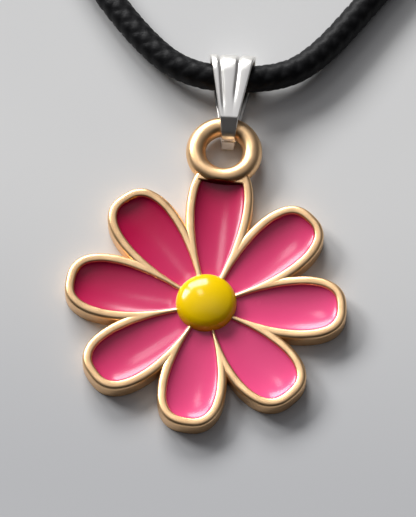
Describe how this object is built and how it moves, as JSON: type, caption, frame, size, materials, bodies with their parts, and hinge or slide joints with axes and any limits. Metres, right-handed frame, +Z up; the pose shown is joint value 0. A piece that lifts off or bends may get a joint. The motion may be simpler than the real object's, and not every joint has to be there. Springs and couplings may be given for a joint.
{
  "type": "flower pendant necklace",
  "caption": "Enamelled daisy pendant with a cast ring, hung by a folded silver bail on a round black cord necklace, lying flat on its back.",
  "frame": {"origin": "middle of the flower's flat back, on the surface that it lies on", "axes": "+Z up out of the flower's face, +Y from the flower towards its ring, bail and cord"},
  "size_m": [0.0973, 0.215, 0.0034],
  "materials": {
    "gold_plate": "polished, faintly satin",
    "pink_enamel": "glossy",
    "yellow_enamel": "glossy",
    "silver_plate": "polished",
    "black_cord": "waxed",
    "clasp_metal": "polished"
  },
  "bodies": {
    "root": {"flower_frame": "gold_plate", "petal_enamel_1": "pink_enamel", "petal_enamel_2": "pink_enamel", "petal_enamel_3": "pink_enamel", "petal_enamel_4": "pink_enamel", "petal_enamel_5": "pink_enamel", "petal_enamel_6": "pink_enamel", "petal_enamel_7": "pink_enamel", "petal_enamel_8": "pink_enamel", "centre_dome": "yellow_enamel", "bail": "silver_plate", "cord": "black_cord", "clasp": "clasp_metal"}
  },
  "joints": []
}
